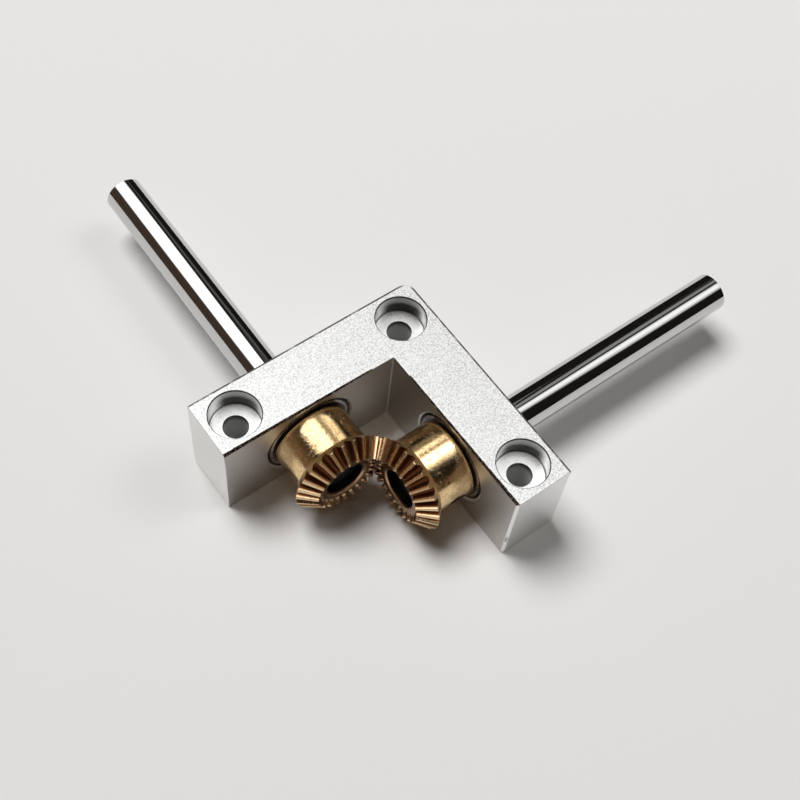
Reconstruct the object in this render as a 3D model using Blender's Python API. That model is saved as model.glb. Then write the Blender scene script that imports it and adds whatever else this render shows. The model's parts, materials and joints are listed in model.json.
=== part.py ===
"""Right-angle bevel gear pair: an L-shaped block carries two shafts on ball bearings,
and a brass bevel gear on the end of each shaft meshes with the other inside the corner.

The shafts point along +X and +Y. The origin is on the underside, at the middle of the
bounding box. Lengths below are in millimetres and turn into metres in the meshes.
"""
import math

import bmesh
import bpy
from mathutils import Matrix, Vector

MM = 0.001

# Block
LEG_LENGTH = 50.5
LEG_WIDTH = 12.6
BLOCK_HEIGHT = 21.4
CORNER_RADIUS = 2.4
EDGE_BREAK = 0.2
AXIS_OFFSET = 31.7          # outer face to the point where the shaft axes cross
BEARING_BORE_RADIUS = 9.5
BORE_CHAMFER = 0.22
SCREW_INSET = 6.3
COUNTERBORE_RADIUS = 5.0
COUNTERBORE_DEPTH = 4.8
SCREW_HOLE_RADIUS = 2.5
RIM_CHAMFER = 0.1

# Shafts, measured outward from the crossing point of the axes
SHAFT_RADIUS = 4.0
SHAFT_LENGTH = 80.0
SHAFT_TIP = 88.7
SHAFT_CHAMFER = 0.4

# Gears
TOOTH_COUNT = 24
TOOTH_MODULE = 0.8
PRESSURE_ANGLE = math.radians(20)
ADDENDUM = 0.7
DEDENDUM = 1.0
BACKLASH = 0.1
FACE_WIDTH = 4.4
FIRST_TOOTH_ANGLE = math.radians(-2.2)
HUB_RADIUS = 8.0
HUB_CHAMFER = 0.5
GEAR_BORE_RADIUS = 4.03
GEAR_BORE_CHAMFER = 0.36
FRONT_FACE = 7.05           # crossing point to the gear's small end
FRONT_FACE_RADIUS = 5.5
SET_SCREW_PLACE = 15.0      # crossing point to the set screw's axis
SET_SCREW_RADIUS = 1.95
SET_SCREW_HOLE_RADIUS = 2.05
SET_SCREW_TOP = 7.2
SET_SCREW_LENGTH = 3.0
SET_SCREW_SOCKET = 1.0      # half of the hexagon's width across corners
DRIVE_SET_SCREW_ANGLE = math.radians(192)
DRIVEN_SET_SCREW_ANGLE = math.radians(90)

# Bearings: 8 x 19 x 6 mm, two in each leg
BEARING_WIDTH = 6.0
BEARING_GAP = 0.1
BEARING_OUTSIDE_RADIUS = 9.46
BEARING_INSIDE_RADIUS = 4.05
RING_CHAMFER = 0.3
OUTER_LAND_RADIUS = 8.0
INNER_LAND_RADIUS = 5.42
SHIELD_SEAT_RADIUS = 8.32
SHIELD_SEAT_DEPTH = 0.55
SHIELD_OUTSIDE_RADIUS = 8.27
SHIELD_INSIDE_RADIUS = 5.72
SHIELD_RECESS = 0.25
SHIELD_THICKNESS = 0.25
BALL_COUNT = 7
BALL_RADIUS = 1.7
BALL_CIRCLE_RADIUS = 6.75
GROOVE_RADIUS = 1.85
CAGE_INSIDE_RADIUS = 6.3
CAGE_OUTSIDE_RADIUS = 7.2
CAGE_WIDTH = 4.5
CAGE_POCKET_RADIUS = 1.8

# Facets round a full turn
BORE_FACETS = 64
SHAFT_FACETS = 48
OUTER_RING_FACETS = 32
INNER_RING_FACETS = 24
HOLE_FACETS = 32

# Worked out from the sizes above
INNER_FACE = AXIS_OFFSET - LEG_WIDTH
LEG_END = AXIS_OFFSET - LEG_LENGTH
PITCH_RADIUS = TOOTH_COUNT * TOOTH_MODULE / 2
CONE_DISTANCE = PITCH_RADIUS * math.sqrt(2)
TOE_RATIO = 1 - FACE_WIDTH / CONE_DISTANCE
BOX_MIDDLE = (SHAFT_TIP + LEG_END) / 2
CROSSING = Vector((-BOX_MIDDLE, -BOX_MIDDLE, BLOCK_HEIGHT / 2))
BEARING_STARTS = {
    "inner": INNER_FACE + (LEG_WIDTH - BEARING_GAP) / 2 - BEARING_WIDTH,
    "outer": INNER_FACE + (LEG_WIDTH + BEARING_GAP) / 2,
}
HUB_END = BEARING_STARTS["inner"] - 0.05


def clear_scene():
    for item in list(bpy.data.objects):
        bpy.data.objects.remove(item, do_unlink=True)


def material(name, colour, roughness, metallic):
    made = bpy.data.materials.new(name)
    made.use_nodes = True
    shader = made.node_tree.nodes["Principled BSDF"]
    shader.inputs["Base Color"].default_value = (*colour, 1.0)
    shader.inputs["Roughness"].default_value = roughness
    shader.inputs["Metallic"].default_value = metallic
    made.diffuse_color = (*colour, 1.0)
    return made


def add_object(name, mesh, look, parent=None, place=None):
    """A new object whose location and rotation come from the matrix `place`."""
    made = bpy.data.objects.new(name, mesh)
    bpy.context.scene.collection.objects.link(made)
    if not mesh.materials:
        mesh.materials.append(look)
    made.parent = parent
    if place is not None:
        made.matrix_local = place
    return made


def mesh_from(name, grid, sharp_angle=math.radians(35)):
    """Turns a bmesh in millimetres into a mesh in metres, facing out and shaded smooth."""
    bmesh.ops.recalc_face_normals(grid, faces=grid.faces[:])
    bmesh.ops.scale(grid, vec=(MM, MM, MM), verts=grid.verts[:])
    made = bpy.data.meshes.new(name)
    grid.to_mesh(made)
    grid.free()
    made.shade_smooth()
    made.set_sharp_from_angle(angle=sharp_angle)
    return made


def ring(grid, place, radius, facets):
    """A ring of points round the local Z axis."""
    turn = 2 * math.pi / facets
    return [
        grid.verts.new((radius * math.cos(i * turn), radius * math.sin(i * turn), place))
        for i in range(facets)
    ]


def bridge(grid, low, high):
    """Quads between two rings with as many points each."""
    for i in range(len(low)):
        j = (i + 1) % len(low)
        grid.faces.new((low[i], low[j], high[j], high[i]))


def turned_ring(name, outline, facets):
    """A ring turned from a closed outline of (place, radius) points."""
    grid = bmesh.new()
    rings = [ring(grid, place, radius, facets) for place, radius in outline]
    for low, high in zip(rings, rings[1:] + rings[:1]):
        bridge(grid, low, high)
    return mesh_from(name, grid)


def turned_bar(name, outline, facets):
    """A solid bar turned from an open outline of (place, radius) points, with flat ends."""
    grid = bmesh.new()
    rings = [ring(grid, place, radius, facets) for place, radius in outline]
    for low, high in zip(rings, rings[1:]):
        bridge(grid, low, high)
    grid.faces.new(rings[0])
    grid.faces.new(rings[-1])
    return mesh_from(name, grid)


def cut(target, cutters):
    """Cuts each cutter's mesh out of the target, with the cutters kept as wire guides."""
    for number, cutter in enumerate(cutters):
        cutter.hide_render = True
        cutter.display_type = "WIRE"
        step = target.modifiers.new(f"cut_{number}", "BOOLEAN")
        step.operation = "DIFFERENCE"
        step.solver = "EXACT"
        step.object = cutter


def arc(middle, radius, start, end, steps):
    """Points on an arc about `middle`, from one angle to another."""
    return [
        (
            middle[0] + radius * math.cos(start + (end - start) * i / steps),
            middle[1] + radius * math.sin(start + (end - start) * i / steps),
        )
        for i in range(steps + 1)
    ]


def block_mesh():
    """The L-shaped bar, drawn from the crossing point of the shaft axes at mid-height."""
    round_middle = (AXIS_OFFSET - CORNER_RADIUS, AXIS_OFFSET - CORNER_RADIUS)
    outline = [
        (LEG_END, AXIS_OFFSET),
        (LEG_END, INNER_FACE),
        (INNER_FACE, INNER_FACE),
        (INNER_FACE, LEG_END),
        (AXIS_OFFSET, LEG_END),
        *arc(round_middle, CORNER_RADIUS, 0, math.pi / 2, 6),
    ]
    grid = bmesh.new()
    base = grid.faces.new([grid.verts.new((x, y, -BLOCK_HEIGHT / 2)) for x, y in outline])
    risen = bmesh.ops.extrude_face_region(grid, geom=[base])
    tops = [item for item in risen["geom"] if isinstance(item, bmesh.types.BMVert)]
    bmesh.ops.translate(grid, vec=(0, 0, BLOCK_HEIGHT), verts=tops)
    bmesh.ops.recalc_face_normals(grid, faces=grid.faces[:])
    sharp = [edge for edge in grid.edges if edge.calc_face_angle(0) > math.radians(50)]
    bmesh.ops.bevel(grid, geom=sharp, offset=EDGE_BREAK, segments=1, affect="EDGES")
    return mesh_from("bearing_block", grid)


def bore_cutter(axis):
    """The bearing bore through a leg, opening into a small chamfer at both faces."""
    low = INNER_FACE - 1
    high = AXIS_OFFSET + 1
    wide = BEARING_BORE_RADIUS + BORE_CHAMFER
    outline = [
        (low, wide),
        (INNER_FACE, wide),
        (INNER_FACE + BORE_CHAMFER, BEARING_BORE_RADIUS),
        (AXIS_OFFSET - BORE_CHAMFER, BEARING_BORE_RADIUS),
        (AXIS_OFFSET, wide),
        (high, wide),
    ]
    return add_object(f"{axis.name}_bore_cutter", turned_bar("bore_cutter", outline, BORE_FACETS),
                      None, axis)


def screw_cutter(name, place):
    """A counterbored screw hole, cut from above."""
    top = BLOCK_HEIGHT / 2
    floor = top - COUNTERBORE_DEPTH
    outline = [
        (-top - 1, SCREW_HOLE_RADIUS),
        (floor, SCREW_HOLE_RADIUS),
        (floor, COUNTERBORE_RADIUS),
        (top - RIM_CHAMFER, COUNTERBORE_RADIUS),
        (top, COUNTERBORE_RADIUS + RIM_CHAMFER),
        (top + 1, COUNTERBORE_RADIUS + RIM_CHAMFER),
    ]
    middle = (CROSSING + Vector((*place, 0))) * MM
    return add_object(name, turned_bar(name, outline, HOLE_FACETS), None, None,
                      Matrix.Translation(middle))


def make_block(look, axes):
    block = add_object("bearing_block", block_mesh(), look, None,
                       Matrix.Translation(CROSSING * MM))
    near = LEG_END + SCREW_INSET
    far = AXIS_OFFSET - SCREW_INSET
    screws = {"corner": (far, far), "x_leg": (far, near), "y_leg": (near, far)}
    cutters = [bore_cutter(axis) for axis in axes]
    cutters += [screw_cutter(f"{name}_screw_cutter", place) for name, place in screws.items()]
    cut(block, cutters)


def make_axis(name, outward, mesh_side):
    """An empty at the crossing point: local Z runs out along the shaft, X to the other gear."""
    side = Vector(mesh_side)
    out = Vector(outward)
    frame = Matrix((side, out.cross(side), out)).transposed().to_4x4()
    empty = bpy.data.objects.new(name, None)
    bpy.context.scene.collection.objects.link(empty)
    empty.matrix_local = Matrix.Translation(CROSSING * MM) @ frame
    return empty


def make_shaft(name, axis, look):
    start = SHAFT_TIP - SHAFT_LENGTH
    outline = [
        (start, SHAFT_RADIUS - SHAFT_CHAMFER),
        (start + SHAFT_CHAMFER, SHAFT_RADIUS),
        (SHAFT_TIP - SHAFT_CHAMFER, SHAFT_RADIUS),
        (SHAFT_TIP, SHAFT_RADIUS - SHAFT_CHAMFER),
    ]
    add_object(name, turned_bar(name, outline, SHAFT_FACETS), look, axis)


def involute(angle):
    return math.tan(angle) - angle


def tooth_outline():
    """Half a tooth at the large end, root to tip: (height over the pitch cone, half angle).

    The back cone is unrolled into a flat spur gear, whose involute flanks are rolled up again.
    """
    flat_pitch = PITCH_RADIUS * math.sqrt(2)
    flat_base = flat_pitch * math.cos(PRESSURE_ANGLE)
    flat_half = (math.pi * TOOTH_MODULE - BACKLASH) / 4 / flat_pitch
    heights = (-DEDENDUM, -0.45 * DEDENDUM, 0.0, ADDENDUM)
    points = []
    for height in heights:
        radius = flat_pitch + height
        pressure = math.acos(min(1.0, flat_base / radius))
        half = flat_half + involute(PRESSURE_ANGLE) - involute(pressure)
        points.append((height, half * math.sqrt(2)))
    return points


def cone_point(grid, ratio, height, angle):
    """A point at a height over the pitch cone, at the large end scaled towards the apex."""
    rise = height / math.sqrt(2)
    radius = (PITCH_RADIUS + rise) * ratio
    place = (PITCH_RADIUS - rise) * ratio
    return grid.verts.new((radius * math.cos(angle), radius * math.sin(angle), place))


def tooth_ring(grid, ratio, first):
    """The outline of all the teeth at one end, as a list of points for each tooth."""
    half = tooth_outline()
    outline = [(height, -angle) for height, angle in half]
    outline += [(height, angle) for height, angle in reversed(half)]
    pitch = 2 * math.pi / TOOTH_COUNT
    return [
        [cone_point(grid, ratio, height, first + i * pitch + angle) for height, angle in outline]
        for i in range(TOOTH_COUNT)
    ]


def core_ring(grid, place, radius, first):
    """Two points for each tooth, evenly spaced round the axis."""
    step = math.pi / TOOTH_COUNT
    return [
        grid.verts.new((radius * math.cos(angle), radius * math.sin(angle), place))
        for angle in (first + (i - 0.5) * step for i in range(2 * TOOTH_COUNT))
    ]


def close_teeth(grid, teeth, core):
    """The end face between the outline of the teeth and a round ring inside it."""
    for i, tooth in enumerate(teeth):
        following = teeth[(i + 1) % TOOTH_COUNT]
        left, right = core[2 * i], core[2 * i + 1]
        onward = core[(2 * i + 2) % len(core)]
        end = grid.faces.new((left, right, *reversed(tooth)))
        gap = grid.faces.new((right, onward, following[0], tooth[-1]))
        bmesh.ops.triangulate(grid, faces=[end, gap])


def gear_mesh(name, first):
    """A bevel gear about the local Z axis, with a tooth centred at the angle `first`."""
    grid = bmesh.new()
    heel = tooth_ring(grid, 1.0, first)
    toe = tooth_ring(grid, TOE_RATIO, first)
    bridge(grid, [point for tooth in heel for point in tooth],
           [point for tooth in toe for point in tooth])
    core = [
        (2 * PITCH_RADIUS - HUB_RADIUS, HUB_RADIUS),
        (HUB_END - HUB_CHAMFER, HUB_RADIUS),
        (HUB_END, HUB_RADIUS - HUB_CHAMFER),
        (HUB_END, GEAR_BORE_RADIUS),
        (FRONT_FACE + GEAR_BORE_CHAMFER, GEAR_BORE_RADIUS),
        (FRONT_FACE, GEAR_BORE_RADIUS + GEAR_BORE_CHAMFER),
        (FRONT_FACE, FRONT_FACE_RADIUS),
    ]
    rings = [core_ring(grid, place, radius, first) for place, radius in core]
    for low, high in zip(rings, rings[1:]):
        bridge(grid, low, high)
    close_teeth(grid, heel, rings[0])
    close_teeth(grid, toe, rings[-1])
    return mesh_from(name, grid, math.radians(25))


def set_screw_frame(angle):
    """Local Z points out along the set screw, at an angle round the shaft."""
    return Matrix.Rotation(angle, 4, "Z") @ Matrix.Translation((0, 0, SET_SCREW_PLACE * MM)) \
        @ Matrix.Rotation(math.pi / 2, 4, "Y")


def make_gear(name, axis, first, set_screw_angle, look):
    gear = add_object(name, gear_mesh(name, first), look, axis)
    hole = [(SHAFT_RADIUS - 1, SET_SCREW_HOLE_RADIUS), (HUB_RADIUS + 1, SET_SCREW_HOLE_RADIUS)]
    cutter = add_object(f"{name}_set_screw_cutter", turned_bar("set_screw_cutter", hole, 20),
                        None, axis, set_screw_frame(set_screw_angle))
    cut(gear, [cutter])


def make_set_screw(name, axis, angle, look):
    """A headless screw with a hexagon socket, below the surface of the hub."""
    low = SET_SCREW_TOP - SET_SCREW_LENGTH
    socket_floor = SET_SCREW_TOP - SET_SCREW_LENGTH / 2
    grid = bmesh.new()
    facets = 18
    rings = [
        ring(grid, low, SET_SCREW_RADIUS - 0.4, facets),
        ring(grid, low + 0.4, SET_SCREW_RADIUS, facets),
        ring(grid, SET_SCREW_TOP - 0.2, SET_SCREW_RADIUS, facets),
        ring(grid, SET_SCREW_TOP, SET_SCREW_RADIUS - 0.2, facets),
    ]
    for below, above in zip(rings, rings[1:]):
        bridge(grid, below, above)
    grid.faces.new(rings[0])
    mouth = ring(grid, SET_SCREW_TOP, SET_SCREW_SOCKET, 6)
    floor = ring(grid, socket_floor, SET_SCREW_SOCKET, 6)
    rim = rings[-1]
    share = facets // 6
    for i in range(6):
        j = (i + 1) % 6
        outside = [rim[(share * i + step) % facets] for step in range(share + 1)]
        grid.faces.new((*outside, mouth[j], mouth[i]))
    bridge(grid, mouth, floor)
    grid.faces.new(floor)
    add_object(name, mesh_from(name, grid), look, axis, set_screw_frame(angle))


def groove(land_radius, side):
    """The ball groove in a ring's land, from its first edge to its last, `side` +1 outside."""
    reach = abs(land_radius - BALL_CIRCLE_RADIUS)
    half = math.acos(reach / GROOVE_RADIUS)
    middle = BEARING_WIDTH / 2
    steps = 4
    return [
        (
            middle - GROOVE_RADIUS * math.sin(half * (1 - 2 * i / steps)),
            BALL_CIRCLE_RADIUS + side * GROOVE_RADIUS * math.cos(half * (1 - 2 * i / steps)),
        )
        for i in range(steps + 1)
    ]


def outer_ring_mesh():
    width = BEARING_WIDTH
    outline = [
        (RING_CHAMFER, BEARING_OUTSIDE_RADIUS),
        (0, BEARING_OUTSIDE_RADIUS - RING_CHAMFER),
        (0, SHIELD_SEAT_RADIUS),
        (SHIELD_SEAT_DEPTH, SHIELD_SEAT_RADIUS),
        (SHIELD_SEAT_DEPTH, OUTER_LAND_RADIUS),
        *groove(OUTER_LAND_RADIUS, 1),
        (width - SHIELD_SEAT_DEPTH, OUTER_LAND_RADIUS),
        (width - SHIELD_SEAT_DEPTH, SHIELD_SEAT_RADIUS),
        (width, SHIELD_SEAT_RADIUS),
        (width, BEARING_OUTSIDE_RADIUS - RING_CHAMFER),
        (width - RING_CHAMFER, BEARING_OUTSIDE_RADIUS),
    ]
    return turned_ring("bearing_outer_ring", outline, OUTER_RING_FACETS)


def inner_ring_mesh():
    outline = [
        (0, BEARING_INSIDE_RADIUS),
        (0, INNER_LAND_RADIUS),
        *groove(INNER_LAND_RADIUS, -1),
        (BEARING_WIDTH, INNER_LAND_RADIUS),
        (BEARING_WIDTH, BEARING_INSIDE_RADIUS),
    ]
    return turned_ring("bearing_inner_ring", outline, INNER_RING_FACETS)


def shield_mesh():
    outline = [
        (0, SHIELD_INSIDE_RADIUS),
        (0, SHIELD_OUTSIDE_RADIUS),
        (SHIELD_THICKNESS, SHIELD_OUTSIDE_RADIUS),
        (SHIELD_THICKNESS, SHIELD_INSIDE_RADIUS),
    ]
    return turned_ring("bearing_shield", outline, INNER_RING_FACETS)


def ball_mesh():
    grid = bmesh.new()
    bmesh.ops.create_uvsphere(grid, u_segments=8, v_segments=4, radius=BALL_RADIUS)
    return mesh_from("bearing_ball", grid, math.radians(60))


def cage_mesh():
    """A ring whose windows are cut by the objects that make_cage adds."""
    low = (BEARING_WIDTH - CAGE_WIDTH) / 2
    high = low + CAGE_WIDTH
    outline = [
        (low, CAGE_INSIDE_RADIUS),
        (low, CAGE_OUTSIDE_RADIUS),
        (high, CAGE_OUTSIDE_RADIUS),
        (high, CAGE_INSIDE_RADIUS),
    ]
    return turned_ring("bearing_cage", outline, 2 * BALL_COUNT)


def ball_place(index, radius=BALL_CIRCLE_RADIUS):
    """From a bearing's start to a ball, with local X pointing out from the axis."""
    turn = 2 * math.pi * index / BALL_COUNT
    return Matrix.Rotation(turn, 4, "Z") @ Matrix.Translation(
        (radius * MM, 0, BEARING_WIDTH / 2 * MM))


def make_cage(name, axis, place, look):
    cage = add_object(name, cage_mesh(), look, axis, place)
    window = [(-1.0, CAGE_POCKET_RADIUS), (1.0, CAGE_POCKET_RADIUS)]
    outward = Matrix.Rotation(math.pi / 2, 4, "Y")
    cutters = [
        add_object(f"{name}_window_{i + 1}", turned_bar("cage_window", window, 10), None, axis,
                   place @ ball_place(i) @ outward)
        for i in range(BALL_COUNT)
    ]
    cut(cage, cutters)


def make_bearing(name, axis, start, steel, shield_look, cage_look):
    place = Matrix.Translation((0, 0, start * MM))
    add_object(f"{name}_outer_ring", outer_ring_mesh(), steel, axis, place)
    add_object(f"{name}_inner_ring", inner_ring_mesh(), steel, axis, place)
    shield_places = {
        "front": SHIELD_RECESS,
        "back": BEARING_WIDTH - SHIELD_RECESS - SHIELD_THICKNESS,
    }
    for side, depth in shield_places.items():
        add_object(f"{name}_{side}_shield", shield_mesh(), shield_look, axis,
                   place @ Matrix.Translation((0, 0, depth * MM)))
    make_cage(f"{name}_cage", axis, place, cage_look)
    ball = ball_mesh()
    for i in range(BALL_COUNT):
        add_object(f"{name}_ball_{i + 1}", ball, steel, axis, place @ ball_place(i))


def main():
    clear_scene()
    aluminium = material("block_aluminium", (0.78, 0.78, 0.77), 0.45, 1.0)
    polished = material("shaft_steel", (0.66, 0.66, 0.67), 0.08, 1.0)
    brass = material("gear_brass", (0.72, 0.50, 0.24), 0.28, 1.0)
    bearing_steel = material("bearing_steel", (0.55, 0.54, 0.53), 0.22, 1.0)
    shield_steel = material("shield_steel", (0.30, 0.29, 0.28), 0.40, 1.0)
    cage_plastic = material("cage_plastic", (0.75, 0.70, 0.58), 0.50, 0.0)
    black_steel = material("set_screw_steel", (0.05, 0.05, 0.055), 0.35, 1.0)

    drive = make_axis("drive_axis", (1, 0, 0), (0, 1, 0))
    driven = make_axis("driven_axis", (0, 1, 0), (1, 0, 0))
    make_block(aluminium, (drive, driven))

    # Seen from the crossing point the two axes turn opposite ways, so the driven gear's
    # first tooth is mirrored and the drive gear's is half a tooth further round.
    half_tooth = math.pi / TOOTH_COUNT
    sides = {
        "drive": (drive, FIRST_TOOTH_ANGLE + half_tooth, DRIVE_SET_SCREW_ANGLE),
        "driven": (driven, -FIRST_TOOTH_ANGLE, DRIVEN_SET_SCREW_ANGLE),
    }
    for side, (axis, first, screw_angle) in sides.items():
        make_shaft(f"{side}_shaft", axis, polished)
        make_gear(f"{side}_gear", axis, first, screw_angle, brass)
        make_set_screw(f"{side}_set_screw", axis, screw_angle, black_steel)
        for row, start in BEARING_STARTS.items():
            make_bearing(f"{side}_{row}_bearing", axis, start, bearing_steel, shield_steel,
                         cage_plastic)
    bpy.context.view_layer.update()


main()
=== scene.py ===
"""Looks for the right-angle bevel gear pair: finer meshes and finished materials on the
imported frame, a pale floor, soft overhead light and the camera.

Lengths below are in millimetres and turn into metres in the meshes. Each shaft has an
axis frame at the point where the shafts cross: local Z runs out along the shaft and
local X points to the other gear.
"""
import json
import math
import random

import bmesh
import bpy
from mathutils import Matrix, Vector

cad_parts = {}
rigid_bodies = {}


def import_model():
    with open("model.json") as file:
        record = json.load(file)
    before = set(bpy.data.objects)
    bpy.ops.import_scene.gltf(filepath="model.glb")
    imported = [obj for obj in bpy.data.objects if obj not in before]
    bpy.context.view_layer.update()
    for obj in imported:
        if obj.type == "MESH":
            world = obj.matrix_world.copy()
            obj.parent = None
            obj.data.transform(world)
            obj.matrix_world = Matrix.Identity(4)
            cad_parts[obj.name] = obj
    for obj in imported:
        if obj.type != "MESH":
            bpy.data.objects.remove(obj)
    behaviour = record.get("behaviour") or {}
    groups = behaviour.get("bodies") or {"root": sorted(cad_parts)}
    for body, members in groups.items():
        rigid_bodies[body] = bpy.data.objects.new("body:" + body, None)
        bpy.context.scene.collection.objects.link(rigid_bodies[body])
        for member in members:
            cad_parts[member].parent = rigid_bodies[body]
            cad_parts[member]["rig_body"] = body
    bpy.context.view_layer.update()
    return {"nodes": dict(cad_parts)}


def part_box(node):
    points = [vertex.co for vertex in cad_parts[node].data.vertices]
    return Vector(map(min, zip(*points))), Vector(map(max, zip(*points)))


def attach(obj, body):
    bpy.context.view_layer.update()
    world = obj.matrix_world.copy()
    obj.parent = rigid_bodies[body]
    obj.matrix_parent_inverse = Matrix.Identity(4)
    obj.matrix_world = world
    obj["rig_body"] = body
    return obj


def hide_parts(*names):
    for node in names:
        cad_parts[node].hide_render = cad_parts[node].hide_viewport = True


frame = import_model()

MM = 0.001

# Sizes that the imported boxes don't give, as in the part
CORNER_RADIUS = 2.4
EDGE_BREAK = 0.16
INNER_CORNER_RADIUS = 0.25
BORE_RADIUS = 9.5
BORE_CHAMFER = 0.34
SCREW_INSET = 6.3
COUNTERBORE_RADIUS = 5.0
COUNTERBORE_DEPTH = 4.8
SCREW_HOLE_RADIUS = 2.5
RIM_CHAMFER = 0.17
BURR_WIDTH = 0.56
BURR_START = 5.0            # from the inside corner to where the ragged edge begins
END_EDGE_CHAMFER = 0.5
OVERSHOOT = 1               # how far a cutter reaches past the metal

TOOTH_COUNT = 24
TOOTH_MODULE = 0.8
PRESSURE_ANGLE = math.radians(20)
ADDENDUM = 0.7
DEDENDUM = 1.0
BACKLASH = 0.1
FACE_WIDTH = 4.4
TOOTH_EDGE = 0.05
TOOTH_FILLET = 0.16
FIRST_TOOTH_ANGLE = math.radians(-2.2)
HUB_RADIUS = 8.0
HUB_CHAMFER = 0.5
GEAR_BORE_RADIUS = 4.03
GEAR_BORE_CHAMFER = 0.36
FRONT_FACE = 7.05
FRONT_FACE_RADIUS = 5.5
SET_SCREW_PLACE = 15.0
SET_SCREW_RADIUS = 1.95
SET_SCREW_HOLE_RADIUS = 2.05
COUNTERSINK = 0.38
COUNTERSINK_DEPTH = 0.65
SET_SCREW_TOP = 7.2
SET_SCREW_LENGTH = 3.0
SET_SCREW_SOCKET = 1.0
SET_SCREW_ANGLES = {"drive": math.radians(192), "driven": math.radians(90)}
SHAFT_CHAMFER = 0.35
ROUND_ALONG = 0.04          # the rounding of a chamfer's ends, along and across the axis
ROUND_ACROSS = 0.03

BEARING_WIDTH = 6.0
BEARING_OUTSIDE_RADIUS = 9.46
BEARING_INSIDE_RADIUS = 4.05
RING_ROUND = 0.3
RING_CHAMFER = 0.2
LAND_EDGE = 0.08
OUTER_LAND_RADIUS = 8.0
INNER_LAND_RADIUS = 5.42
SHIELD_SEAT_RADIUS = 8.32
SHIELD_SEAT_DEPTH = 0.55
SHIELD_OUTSIDE_RADIUS = 8.27
SHIELD_INSIDE_RADIUS = 5.72
SHIELD_THICKNESS = 0.25
SHIELD_RECESS = 0.25
BALL_COUNT = 7
BALL_RADIUS = 1.7
BALL_CIRCLE_RADIUS = 6.75
GROOVE_RADIUS = 1.85
CAGE_INSIDE_RADIUS = 6.3
CAGE_OUTSIDE_RADIUS = 7.2
CAGE_WIDTH = 4.5
CAGE_POCKET_RADIUS = 1.8

# Facets round a full turn
FINE_FACETS = 144
HOLE_FACETS = 96
SMALL_HOLE_FACETS = 64
SET_SCREW_FACETS = 60
WINDOW_FACETS = 28

# Edges that turn by more than this are shaded sharp
SHARP_ANGLE = math.radians(32)
GEAR_SHARP_ANGLE = math.radians(28)

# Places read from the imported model
block_low, block_high = (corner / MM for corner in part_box("bearing_block"))
shaft_low, shaft_high = (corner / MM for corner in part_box("drive_shaft"))
other_low, other_high = (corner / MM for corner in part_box("driven_shaft"))
CROSSING = Vector((
    (other_low.x + other_high.x) / 2,
    (shaft_low.y + shaft_high.y) / 2,
    (shaft_low.z + shaft_high.z) / 2,
))
AXIS_OFFSET = block_high.x - CROSSING.x
LEG_END = block_low.x - CROSSING.x
LEG_WIDTH = 12.6
INNER_FACE = AXIS_OFFSET - LEG_WIDTH
HALF_HEIGHT = (block_high.z - block_low.z) / 2
SHAFT_RADIUS = (shaft_high.z - shaft_low.z) / 2
SHAFT_START = shaft_low.x - CROSSING.x
SHAFT_TIP = shaft_high.x - CROSSING.x
HUB_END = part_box("drive_gear")[1].x / MM - CROSSING.x
PITCH_RADIUS = TOOTH_COUNT * TOOTH_MODULE / 2
TOE_RATIO = 1 - FACE_WIDTH / (PITCH_RADIUS * math.sqrt(2))


def axis_frame(along, mesh_side):
    """The matrix of a shaft's axis frame, in metres."""
    side = Vector(mesh_side)
    out = Vector(along)
    turn = Matrix((side, out.cross(side), out)).transposed().to_4x4()
    return Matrix.Translation(CROSSING * MM) @ turn


AXES = {
    "drive": axis_frame((1, 0, 0), (0, 1, 0)),
    "driven": axis_frame((0, 1, 0), (1, 0, 0)),
}
AXIS_INDEX = {"drive": 0, "driven": 1}


# ---------------------------------------------------------------- mesh helpers


def mesh_from(name, grid, sharp_angle=SHARP_ANGLE):
    """Turns a bmesh in millimetres into a mesh in metres, facing out and shaded smooth."""
    bmesh.ops.recalc_face_normals(grid, faces=grid.faces[:])
    bmesh.ops.scale(grid, vec=(MM, MM, MM), verts=grid.verts[:])
    made = bpy.data.meshes.new(name)
    grid.to_mesh(made)
    grid.free()
    made.shade_smooth()
    made.set_sharp_from_angle(angle=sharp_angle)
    return made


def add_piece(name, mesh, place, look):
    made = bpy.data.objects.new(name, mesh)
    bpy.context.scene.collection.objects.link(made)
    made.matrix_world = place
    if look is not None and not mesh.materials:
        mesh.materials.append(look)
    return made


def stand_for(piece, node):
    """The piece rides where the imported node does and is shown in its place."""
    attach(piece, frame["nodes"][node]["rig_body"])
    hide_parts(node)


def ring(grid, place, radius, facets):
    turn = 2 * math.pi / facets
    return [
        grid.verts.new((radius * math.cos(i * turn), radius * math.sin(i * turn), place))
        for i in range(facets)
    ]


def bridge(grid, low, high):
    for i in range(len(low)):
        j = (i + 1) % len(low)
        grid.faces.new((low[i], low[j], high[j], high[i]))


def turned_ring(name, outline, facets=FINE_FACETS):
    """A ring turned from a closed outline of (place, radius) points."""
    grid = bmesh.new()
    rings = [ring(grid, place, radius, facets) for place, radius in outline]
    for low, high in zip(rings, rings[1:] + rings[:1]):
        bridge(grid, low, high)
    return mesh_from(name, grid)


def turned_bar(name, outline, facets=FINE_FACETS):
    """A solid bar turned from an open outline of (place, radius) points, with flat ends."""
    grid = bmesh.new()
    rings = [ring(grid, place, radius, facets) for place, radius in outline]
    for low, high in zip(rings, rings[1:]):
        bridge(grid, low, high)
    grid.faces.new(rings[0])
    grid.faces.new(rings[-1])
    return mesh_from(name, grid)


def arc(middle, radius, start, end, steps):
    """Points on an arc about `middle`, from one angle to another."""
    return [
        (
            middle[0] + radius * math.cos(start + (end - start) * i / steps),
            middle[1] + radius * math.sin(start + (end - start) * i / steps),
        )
        for i in range(steps + 1)
    ]


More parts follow.
